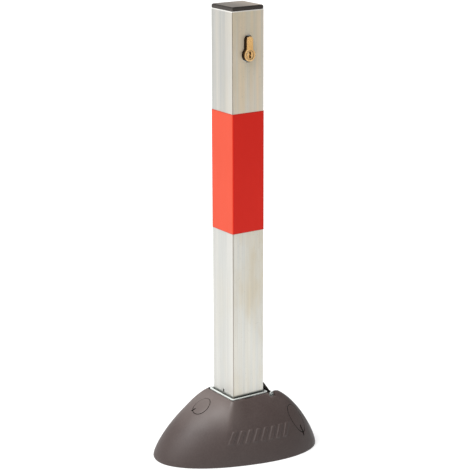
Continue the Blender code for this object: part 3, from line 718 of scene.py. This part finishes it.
class Wall:
    """One side of the cover's wall, meshed on its flat map around holes and raised bars."""

    def __init__(self, bm, inset):
        self.bm = bm
        self.inset = inset
        self.places = []        # flat map coordinates
        self.verts = []
        self.edges = []

    def add(self, angle, share, drop=0.0, lift=0.0):
        """Add a vertex, dropped straight down or lifted off the wall. Returns its number."""
        point = cover_point(angle, share, self.inset) - Vector((0, 0, drop))
        if lift:
            point += cover_normal(angle, share) * lift
        self.places.append(map_place(angle, share))
        self.verts.append(self.bm.verts.new(point))
        return len(self.verts) - 1

    def loop(self, items):
        """Add a closed loop and keep its edges in the mesh."""
        made = [self.add(*item) for item in items]
        self.edges += list(zip(made, made[1:] + made[:1]))
        return made

    def plug_loop(self, anchor, grow, drop):
        places = []
        for x, y in plug_outline(anchor, grow):
            angle = atan2(y, x)
            places.append((angle, share_where(angle, 0, hypot(x, y), self.inset), drop))
        return self.loop(places)

    def bar_loop(self, index, grow, lift):
        return self.loop([(*front_place(x, z), 0.0, lift) for x, z in bar_outline(index, grow)])

    def grid(self, angles, rows, keep):
        """Fill in with an even grid. Returns the vertices along the ground and the rim."""
        ends = []
        for row in range(rows + 1):
            share = row / rows
            line = [self.add(angle, share) for angle in angles if keep(angle, share)]
            if row in (0, rows):
                ends.append([self.verts[index] for index in line])
            # The seam's vertex stands at both ends of the map. Nothing is cut out there.
            self.places.append(Vector((2 * pi * MAP_WIDTH, share * MAP_HEIGHT)))
            self.verts.append(self.verts[line[0]])
        return ends

    def fill(self, holes):
        """Triangulate, leaving out what lies inside the hole loops."""
        _, _, faces, sources, _, _ = delaunay_2d_cdt(self.places, self.edges, [], 0, 1e-7)
        for face in faces:
            ids = [sources[corner][0] for corner in face]
            middle = sum((self.places[index] for index in ids), Vector((0, 0))) / 3
            if any(inside(middle, [self.places[index] for index in hole]) for hole in holes):
                continue
            corners = [self.verts[index] for index in ids]
            if len(set(corners)) == 3:
                self.bm.faces.new(corners)


def inside(point, polygon):
    """Whether a point lies in a polygon, by counting the edges on its right."""
    odd = False
    for here, there in zip(polygon, polygon[1:] + polygon[:1]):
        if (here.y > point.y) != (there.y > point.y):
            cross = here.x + (point.y - here.y) * (there.x - here.x) / (there.y - here.y)
            odd ^= point.x < cross
    return odd


def plug_offset(anchor, point):
    """How far a point seen from above lies downhill of a plug's middle, and to its side."""
    x, y, downhill = anchor[:3]
    offset = point.xy - Vector((x, y))
    along = offset.x * cos(downhill) + offset.y * sin(downhill)
    across = offset.y * cos(downhill) - offset.x * sin(downhill)
    return along, across


def near_plug(point, reach):
    """Whether a point seen from above is inside a plug's outline, grown by a reach."""
    for anchor in ANCHORS.values():
        length, width = anchor[3:5]
        along, across = plug_offset(anchor, point)
        grown = (along / (length + reach * length / width)) ** 2 + (across / (width + reach)) ** 2
        if grown < 1:
            return True
    return False


def near_bar(point, reach):
    """Whether a point on the front is within reach of a bar."""
    if point.y > 0 or not BAR_LOW_Z - reach < point.z < BAR_HIGH_Z + reach:
        return False
    along = point.x - (point.z - BAR_LOW_Z) * BAR_LEAN - BAR_FIRST_X
    index = round((along - BAR_WIDTH / 2) / BAR_PITCH)
    index = max(0, min(BAR_COUNT - 1, index))
    return -reach < along - index * BAR_PITCH < BAR_WIDTH + reach


def cover_lip(bm, angles):
    """Loops of the deck's edge and the wall of the opening, from the rim inwards and down."""
    loops = []
    for grow, drop in ((0.0005, 0.0), (0.00015, 0.00015), (0.0, 0.0005), (0.0, COVER_WALL)):
        loop = []
        for angle in angles:
            radius = opening_radius(angle) + grow
            height = rim_height(angle) - drop
            loop.append(bm.verts.new((radius * cos(angle), radius * sin(angle), height)))
        loops.append(loop)
    return loops


def plug_distance(point):
    """Rough distance from a point seen from above to the nearest plug's outline."""
    best = 1.0
    for anchor in ANCHORS.values():
        length, width = anchor[3:5]
        along, across = plug_offset(anchor, point)
        best = min(best, (hypot(along / length, across / width) - 1) * width, key=abs)
    return best


def notch_place(anchor):
    """The point on a plug's edge where its prying notch is, and the direction outwards."""
    x, y, downhill, length, width, notch = anchor
    along, across = length * cos(notch), width * sin(notch)
    place = Matrix.Translation((x, y, 0)) @ Matrix.Rotation(downhill, 4, "Z")
    return place @ Vector((along, across, 0)), downhill + atan2(across, along)


def in_notch(point):
    """Whether a point lies in the prying notch of one of the plugs."""
    margin = 0.0002
    for anchor in ANCHORS.values():
        edge, outwards = notch_place(anchor)
        offset = Matrix.Rotation(-outwards, 2) @ (point.xy - edge.xy)
        if -NOTCH_LENGTH - margin < offset.x < NOTCH_LENGTH / 2 + margin:
            if abs(offset.y) < NOTCH_WIDTH / 2 + margin:
                return True
    return False


def darken_gaps(item, gap_shade_look, reach, inner_reach):
    """Paint shade into the gaps round the plugs, their notches and the rim's deck with the gap
    material.
    """
    item.data.materials.append(gap_shade_look)
    for face in item.data.polygons:
        middle = face.center
        angle = atan2(middle.y, middle.x)
        lip = middle.xy.length - opening_radius(angle)
        on_deck = lip < DECK_WIDTH and middle.z > rim_height(angle) - COVER_WALL
        on_edge = -inner_reach < plug_distance(middle) < reach
        if on_edge or on_deck or (face.normal.z < 0.25 and in_notch(middle)):
            face.material_index = 1


def make_cover(look, gap_shade_look):
    """Outer and inner wall, joined along the rim, the ground and the plug holes."""
    bm = bmesh.new()
    angles = cover_angles()
    outer = Wall(bm, 0.0)
    holes = []
    # Each plug hole and each bar has rings of its own, which round its edges.
    for anchor in ANCHORS.values():
        for grow, drop in ((0.0032, 0.0), (0.0018, 0.0), (0.0011, 0.00004), (0.00065, 0.00025)):
            outer.plug_loop(anchor, grow, drop)
        holes.append(outer.plug_loop(anchor, GAP, 0.0009))
    for index in range(BAR_COUNT):
        for grow, lift in ((0.0006, 0.0), (0.00025, 0.00030), (-0.00005, 0.00060),
                           (-0.0006, BAR_RISE), (-0.0018, BAR_RISE)):
            outer.bar_loop(index, grow, lift)

    def keep(angle, share):
        point = cover_point(angle, share)
        return not near_plug(point, 0.0046) and not near_bar(point, 0.0016)

    foot, rim = outer.grid(angles, 36, keep)
    outer.fill(holes)

    inner = Wall(bm, COVER_WALL)
    inner_holes = [inner.plug_loop(anchor, GAP, 0.0) for anchor in ANCHORS.values()]

    def keep_inner(angle, share):
        return not near_plug(cover_point(angle, share, COVER_WALL), 0.002)

    inner_foot, inner_rim = inner.grid(angles, 16, keep_inner)
    inner.fill(inner_holes)

    lip = cover_lip(bm, angles)
    for here, there in zip([rim, *lip], [*lip, inner_rim]):
        stitch(bm, here, there)
    stitch(bm, foot, inner_foot)
    for hole, under in zip(holes, inner_holes):
        stitch(bm, [outer.verts[index] for index in hole],
               [inner.verts[index] for index in under])
    cover = finish_mesh("cover_shell", bm, 50.0)
    notches = [make_notch(name, anchor) for name, anchor in ANCHORS.items()]
    lip_cut = prism("lip_cut", rounded_rect(0.028, 0.0378, -0.040, -0.029, 0.0008),
                    SOCKET_TOP - 0.0055, SOCKET_TOP + 0.01)
    carve(cover, lip_cut, *notches)
    cover.data.set_sharp_from_angle(angle=radians(50))
    cover.data.materials.append(look)
    # Painted shade in the gaps round the plugs, in the notches and on the rim's deck.
    darken_gaps(cover, gap_shade_look, 0.0005, 0.0)
    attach(cover, "base")
    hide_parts("base_cover")


def make_notch(name, anchor):
    """Tool for a prying notch, which runs in from the plug's edge towards its middle."""
    edge, outwards = notch_place(anchor)
    top = cover_height(edge.x, edge.y) + 0.010
    half = NOTCH_WIDTH / 2
    outline = rounded_rect(-NOTCH_LENGTH, NOTCH_LENGTH / 2, -half, half, 0.0006)
    tool = prism(f"{name}_notch", outline, top - 0.020, top)
    turn = Matrix.Rotation(outwards, 4, "Z")
    tool.data.transform(Matrix.Translation((edge.x, edge.y, 0)) @ turn)
    return tool


def make_plug(name, anchor, look, gap_shade_look):
    """A shallow cup whose rounded top follows the cover."""
    sections = [(share, 0.0, 0.00015 + 0.00012 * (1 - share)) for share in (0.2, 0.4, 0.6, 0.8)]
    sections += [(1.0, grow, drop) for grow, drop in (
        (-0.0012, 0.00015), (-0.0007, 0.0002), (-0.0003, 0.0004), (0.0, 0.0009),
        (0.0, PLUG_DEPTH))]
    sections += [(1.0, -PLUG_WALL, PLUG_DEPTH), (1.0, -PLUG_WALL, COVER_WALL)]
    sections += [(0.3, 0.0, COVER_WALL)]
    loops = []
    for share, grow, drop in sections:
        loops.append([(x, y, cover_height(x, y) - drop)
                      for x, y in plug_outline(anchor, grow, share)])
    plug = loft(f"{name}_cap", loops, sharp=50.0)
    carve(plug, make_notch(name, anchor))
    plug.data.set_sharp_from_angle(angle=radians(50))
    plug.data.materials.append(look)
    # Painted shade on the plug's edge and in its notch.
    darken_gaps(plug, gap_shade_look, 0.0002, 0.0004)
    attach(plug, name)
    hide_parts(name)


# ---- Post -----------------------------------------------------------------------------------
def lock_outline(margin=0.0, steps=40):
    """Euro profile: a round part below with a narrow stem standing on it."""
    radius = LOCK_ROUND + margin
    stem = LOCK_STEM + margin
    start = atan2(sqrt(radius ** 2 - stem ** 2), stem)
    outline = arc((0, LOCK_Z), radius, pi - start, 2 * pi + start, steps)
    cap = stem - 0.0001
    return outline + arc((0, LOCK_TOP + margin - cap), cap, 0, pi, 20)


def window_box(name, size):
    """Tool for the openings that the latch bolts pass through, on both sides."""
    width, height = size
    return box(name, (-0.04, -width, BOLT_Z - height), (0.04, width, BOLT_Z + height))


def make_tube(look):
    half = TUBE / 2
    low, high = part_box("post_tube")
    outer = square(half, TUBE_CORNER, 10)
    inner = square(half - TUBE_WALL, TUBE_INNER_CORNER, 10)
    loops = [[(x, y, z) for x, y in outline]
             for outline, z in ((outer, low.z), (outer, high.z), (inner, high.z), (inner, low.z))]
    tube = loft("post_body", loops, closed=True)
    slot = rounded_rect(-SLOT_HALF_WIDTH, SLOT_HALF_WIDTH, SLOT_LOW, SLOT_HIGH, 0.00155)
    carve(tube,
          prism("lock_cut", lock_outline(LOCK_CUT_MARGIN), -half - 0.005, -half + 0.005, "Y"),
          prism("tube_slot", slot, -half - 0.005, -half + 0.005, "X"),
          window_box("tube_windows", TUBE_WINDOW),
          prism("screw_holes", circle(SCREW_HOLE_RADIUS, (0, SCREW_HOLE_Z)), -0.03, 0.03, "Y"))
    soften(tube, 0.00025, 2, 55)
    even_normals(tube)
    tube.data.materials.append(look)
    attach(tube, "post")
    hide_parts("post_tube")


def make_cap(look):
    low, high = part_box("post_cap")
    half = TUBE / 2 - 0.0002
    seat = POST_TOP + GAP
    sections = (
        (0.0205, 0.0010, high.z - 0.0035), (0.0205, 0.0010, low.z + 0.0004),
        (0.0209, 0.0012, low.z), (0.0220, 0.0016, low.z), (0.0224, 0.0020, low.z + 0.0006),
        (0.0226, 0.0020, seat), (half - 0.0003, TUBE_CORNER, seat),
        (half, TUBE_CORNER, seat + 0.0003), (half, TUBE_CORNER, high.z - CAP_CHAMFER - 0.0002),
        (half - 0.0002, TUBE_CORNER, high.z - CAP_CHAMFER + 0.0001),
        (half - CAP_CHAMFER + 0.0001, TUBE_CORNER, high.z - 0.0002),
        (half - CAP_CHAMFER - 0.0002, TUBE_CORNER, high.z),
    )
    loops = [[(x, y, z) for x, y in square(size, corner)] for size, corner, z in sections]
    cap = loft("cap_shell", loops, sharp=60.0)
    even_normals(cap)
    cap.data.materials.append(look)
    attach(cap, "post")
    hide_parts("post_cap")


def make_band(look):
    low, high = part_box("red_band")
    outer = high.x
    inner = TUBE / 2 + 0.00005
    corner = TUBE_CORNER + outer - TUBE / 2
    edge = 0.00012
    sections = ((inner, low.z), (outer - edge, low.z), (outer, low.z + edge),
                (outer, high.z - edge), (outer - edge, high.z), (inner, high.z))
    loops = [[(x, y, z) for x, y in square(size, corner - outer + size, 10)]
             for size, z in sections]
    band = loft("band_film", loops, closed=True)
    even_normals(band)
    band.data.materials.append(look)
    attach(band, "post")
    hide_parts("red_band")


def make_lock(look, core_look):
    """Lock body, and the turning core with a ring groove round its keyway."""
    front = -TUBE / 2 - LOCK_PROUD
    back = front + LOCK_LENGTH
    axis = (0, LOCK_Z)
    body = prism("lock_body", lock_outline(), front, back, "Y", 0.0004)
    carve(body,
          prism("core_bore", circle(CORE_RADIUS + 0.0002, axis, 64), front - 0.001,
                back + 0.001, "Y"),
          prism("thread_hole", circle(LOCK_SCREW_RADIUS, (0, LOCK_SCREW_Y)), LOCK_TOP - 0.0135,
                LOCK_TOP + 0.001))
    soften(body, 0.0002, 2, 55)
    even_normals(body)
    body.data.materials.append(look)
    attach(body, "post")
    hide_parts("lock_cylinder")

    core = prism("lock_plug", circle(CORE_RADIUS - 0.0001, axis, 64), front + 0.0002, back, "Y")
    groove = prism("core_groove", circle(0.0054, axis, 64), front, front + 0.0006, "Y")
    carve(groove, prism("groove_middle", circle(0.0048, axis, 64), front - 0.001,
                        front + 0.001, "Y"))
    carve(core, groove)
    soften(core, 0.00015, 2, 55)
    carve(core, prism("keyway", keyway_outline(), front - 0.001, back - 0.004, "Y"))
    even_normals(core)
    core.data.materials.append(core_look)
    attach(core, "key_core")
    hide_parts("lock_core")


def keyway_outline():
    """Upright key slot with a warding rib on each side."""
    low, high = LOCK_Z - KEYWAY_HALF_HEIGHT, LOCK_Z + KEYWAY_HALF_HEIGHT
    side = KEYWAY_HALF_WIDTH
    right = [(side, low), (side, low + 0.0025), (0.0008, low + 0.0030),
             (0.0008, low + 0.0042), (side, low + 0.0047), (side, high)]
    left = [(-side, high), (-side, high - 0.0020), (-0.0007, high - 0.0025),
            (-0.0007, high - 0.0036), (-side, high - 0.0041), (-side, low)]
    return right + left


# ---- Socket, bracket and flap ---------------------------------------------------------------
def make_socket(look):
    low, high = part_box("socket_tube")
    half = SOCKET / 2
    edge = 0.0006
    inner = half - SOCKET_WALL
    sections = ((half, low.z), (half, high.z - edge), (half - edge * 0.3, high.z - edge * 0.3),
                (half - edge, high.z), (inner + edge * 0.6, high.z), (inner, high.z - edge * 0.6),
                (inner, low.z))
    loops = [[(x, y, z) for x, y in square(size, SOCKET_CORNER - half + size, 10)]
             for size, z in sections]
    socket = loft("socket_body", loops, closed=True)
    carve(socket, window_box("socket_windows", SOCKET_WINDOW))
    even_normals(socket)
    socket.data.materials.append(look)
    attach(socket, "base")
    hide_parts("socket_tube")


def soft_copy(node, name, width, look):
    """A copy of a CAD node with rounded edges, which stands for it."""
    source = frame["nodes"][node]
    bm = bmesh.new()
    bm.from_mesh(source.data)
    bmesh.ops.remove_doubles(bm, verts=bm.verts, dist=1e-6)
    bmesh.ops.dissolve_limit(bm, angle_limit=radians(0.5), verts=bm.verts, edges=bm.edges)
    item = finish_mesh(name, bm)
    soften(item, width, 2)
    even_normals(item)
    item.data.materials.clear()
    item.data.materials.append(look)
    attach(item, source["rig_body"])
    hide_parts(node)


# ---- Stage ----------------------------------------------------------------------------------
def make_stage():
    """A pale floor that glows a little, so that it stays white, and dims far in front."""
    bm = bmesh.new()
    bmesh.ops.create_grid(bm, x_segments=2, y_segments=2, size=6.0)
    floor = finish_mesh("studio_floor", bm)
    look = Look("studio_floor", (0.55, 0.55, 0.55), 0.9, Specular_IOR_Level=0.1)
    cloud = look.noise(0.8, 2)
    front = look.range(look.axis("Y"), -0.35, -1.8, 0.0, 1.0, smooth=True)
    pale = look.mix(cloud, (0.54, 0.54, 0.54), (0.56, 0.56, 0.56))
    look.color(look.mix(front, pale, (0.42, 0.415, 0.40)))
    look.feed(look.shader.inputs["Emission Color"], (1.0, 1.0, 1.0, 1.0))
    look.feed(look.shader.inputs["Emission Strength"], look.range(front, 0.0, 1.0, 0.5, 0.12))
    floor.data.materials.append(look.material)


def sun_light(name, place, angle, strength):
    """Even light from a wide soft source far away, in the direction of `place`."""
    data = bpy.data.lights.new(name, "SUN")
    data.angle = radians(angle)
    data.energy = strength
    item = bpy.data.objects.new(name, data)
    item.rotation_euler = Vector(place).to_track_quat("Z", "Y").to_euler()
    bpy.context.scene.collection.objects.link(item)


def make_lights():
    """A big soft key from the upper left, in a white room that is dimmer in front."""
    sun_light("key", (-0.62, -0.12, 0.85), 50, 3.4)
    world = bpy.data.worlds.new("white_room")
    world.use_nodes = True
    tree = world.node_tree
    back = tree.nodes["Background"]
    back.inputs["Strength"].default_value = 1.0
    place = tree.nodes.new("ShaderNodeTexCoord")
    dot = tree.nodes.new("ShaderNodeVectorMath")
    dot.operation = "DOT_PRODUCT"
    dot.inputs[1].default_value = (-0.30, 0.85, 0.35)
    tree.links.new(place.outputs["Generated"], dot.inputs[0])
    level = tree.nodes.new("ShaderNodeMapRange")
    for socket, number in zip(("From Min", "From Max", "To Min", "To Max"), (-0.6, 0.6, 0.2, 0.75)):
        level.inputs[socket].default_value = number
    tree.links.new(dot.outputs["Value"], level.inputs["Value"])
    tree.links.new(level.outputs["Result"], back.inputs["Color"])
    bpy.context.scene.world = world


def make_camera():
    data = bpy.data.cameras.new("camera")
    data.lens = CAMERA_LENS
    data.sensor_width = 36.0
    camera = bpy.data.objects.new("camera", data)
    camera.location = CAMERA_PLACE
    turn = Matrix.Rotation(CAMERA_TURN, 3, "Z") @ Matrix.Rotation(pi / 2 + CAMERA_TILT, 3, "X")
    turn = turn @ Matrix.Rotation(CAMERA_ROLL, 3, "Z")
    camera.rotation_euler = turn.to_euler()
    bpy.context.scene.collection.objects.link(camera)
    bpy.context.scene.camera = camera


# ---- Everything together --------------------------------------------------------------------
def paint_nodes(looks):
    """Give every CAD node that stays in view the finish of its slot."""
    slots = {part["node"]: part["material_slot"] for part in frame["record"]["subparts"]}
    for name, node in frame["nodes"].items():
        node.data.materials.clear()
        node.data.materials.append(looks[slots[name]])


def main():
    bpy.context.scene.view_settings.view_transform = "Standard"
    make_camera()
    looks = {
        "post_steel": zinc_tube(), "zinc_steel": bright_zinc(), "dark_steel": dark_steel(),
        "lock_brass": brass(), "cover_plastic": cover_plastic(),
        "black_plastic": black_plastic(), "red_film": red_film(), "buffer_rubber": rubber(),
    }
    paint_nodes(looks)
    gap_shade_look = gap_shade_plastic()
    make_cover(looks["cover_plastic"], gap_shade_look)
    for name, anchor in ANCHORS.items():
        make_plug(name, anchor, looks["cover_plastic"], gap_shade_look)
    make_tube(looks["post_steel"])
    make_cap(looks["black_plastic"])
    make_band(looks["red_film"])
    make_lock(looks["lock_brass"], brass("core_brass", (0.96, 0.54, 0.19)))
    make_socket(looks["zinc_steel"])
    soft_copy("flap_bracket", "bracket_sheet", 0.0003, looks["zinc_steel"])
    soft_copy("flap_pin", "hinge_pin", 0.0004, looks["zinc_steel"])
    soft_copy("socket_flap", "flap_plate", 0.0003, looks["black_plastic"])
    make_stage()
    make_lights()


main()
